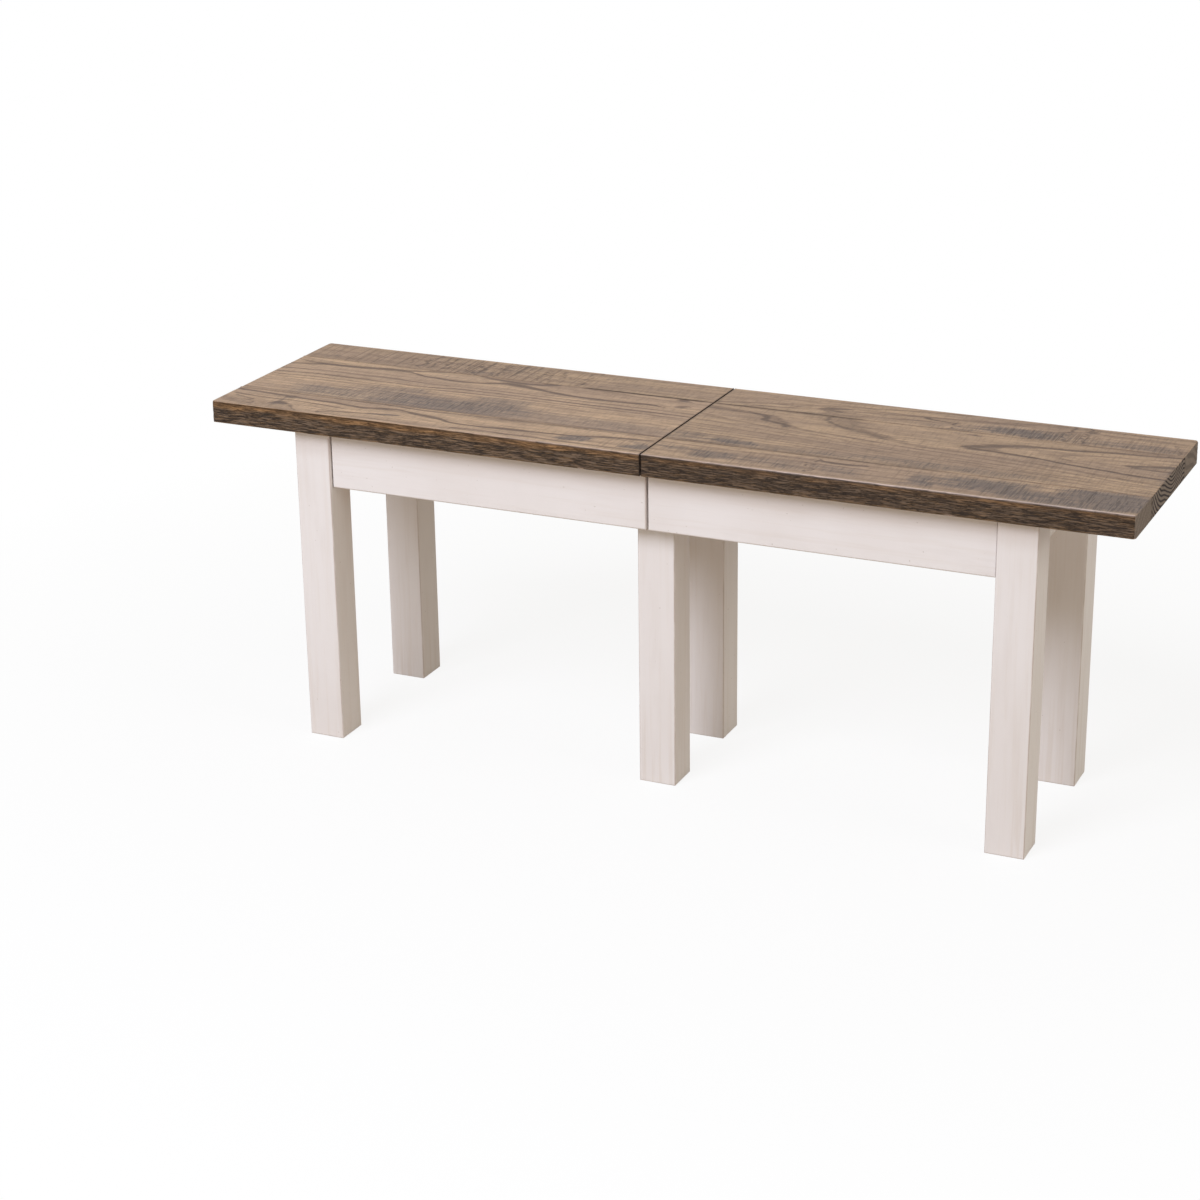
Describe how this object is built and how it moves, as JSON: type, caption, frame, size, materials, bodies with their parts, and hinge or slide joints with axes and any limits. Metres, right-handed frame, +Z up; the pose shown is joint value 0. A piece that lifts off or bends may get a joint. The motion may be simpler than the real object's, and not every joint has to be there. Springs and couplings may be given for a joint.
{
  "type": "extending dining bench",
  "caption": "Backless wooden dining bench whose split top slides apart on wooden slides over fixed centre legs to take drop-in leaves.",
  "frame": {"origin": "middle of the closed bench's footprint, on the floor", "axes": "+X along the bench to its right end, +Y from the front edge to the back edge, +Z up"},
  "size_m": [1.219, 0.309, 0.457],
  "materials": {
    "stained_oak": "grey-brown stained oak with dark grain, knots and saw marks under a satin varnish",
    "off_white_paint": "brushed antique off-white satin paint on wood, faint brown glaze in corners",
    "maple": "bare waxed hardwood",
    "zinc_steel": "zinc-plated steel",
    "black_plastic": "black moulded nylon"
  },
  "bodies": {
    "centre_frame": {"centre_front_leg": "off_white_paint", "centre_rear_leg": "off_white_paint", "centre_cross_rail": "off_white_paint", "centre_front_slide_rail": "maple", "centre_rear_slide_rail": "maple", "centre_slide_keys": "maple", "centre_rail_screws": "zinc_steel"},
    "left_half": {"left_front_board": "stained_oak", "left_middle_board": "stained_oak", "left_back_board": "stained_oak", "left_front_apron": "off_white_paint", "left_rear_apron": "off_white_paint", "left_end_apron": "off_white_paint", "left_front_leg": "off_white_paint", "left_rear_leg": "off_white_paint", "left_front_slide_rail": "maple", "left_rear_slide_rail": "maple", "left_slide_keys": "maple", "left_corner_blocks": "maple", "left_pocket_screws": "zinc_steel", "left_rail_screws": "zinc_steel", "left_block_screws": "zinc_steel", "alignment_pins": "black_plastic", "lock_base": "zinc_steel", "lock_pivot_pin": "zinc_steel", "lock_base_screws": "zinc_steel"},
    "right_half": {"right_front_board": "stained_oak", "right_middle_board": "stained_oak", "right_back_board": "stained_oak", "right_front_apron": "off_white_paint", "right_rear_apron": "off_white_paint", "right_end_apron": "off_white_paint", "right_front_leg": "off_white_paint", "right_rear_leg": "off_white_paint", "right_front_slide_rail": "maple", "right_rear_slide_rail": "maple", "right_slide_keys": "maple", "right_corner_blocks": "maple", "right_pocket_screws": "zinc_steel", "right_rail_screws": "zinc_steel", "right_block_screws": "zinc_steel", "lock_keeper": "zinc_steel", "lock_keeper_screws": "zinc_steel"},
    "lock_lever_body": {"lock_lever": "zinc_steel"}
  },
  "joints": [
    {"name": "left_slide", "type": "slide", "parent": "centre_frame", "child": "left_half", "axis": [-1, 0, 0], "range_m": [0, 0.6096]},
    {"name": "right_slide", "type": "slide", "parent": "centre_frame", "child": "right_half", "axis": [1, 0, 0], "range_m": [0, 0.6096]},
    {"name": "lock_lever_turn", "type": "hinge", "parent": "left_half", "child": "lock_lever_body", "pos_m": [-0.015, 0, 0.423], "axis": [0, 0, 1], "range_deg": [0, 90]}
  ]
}
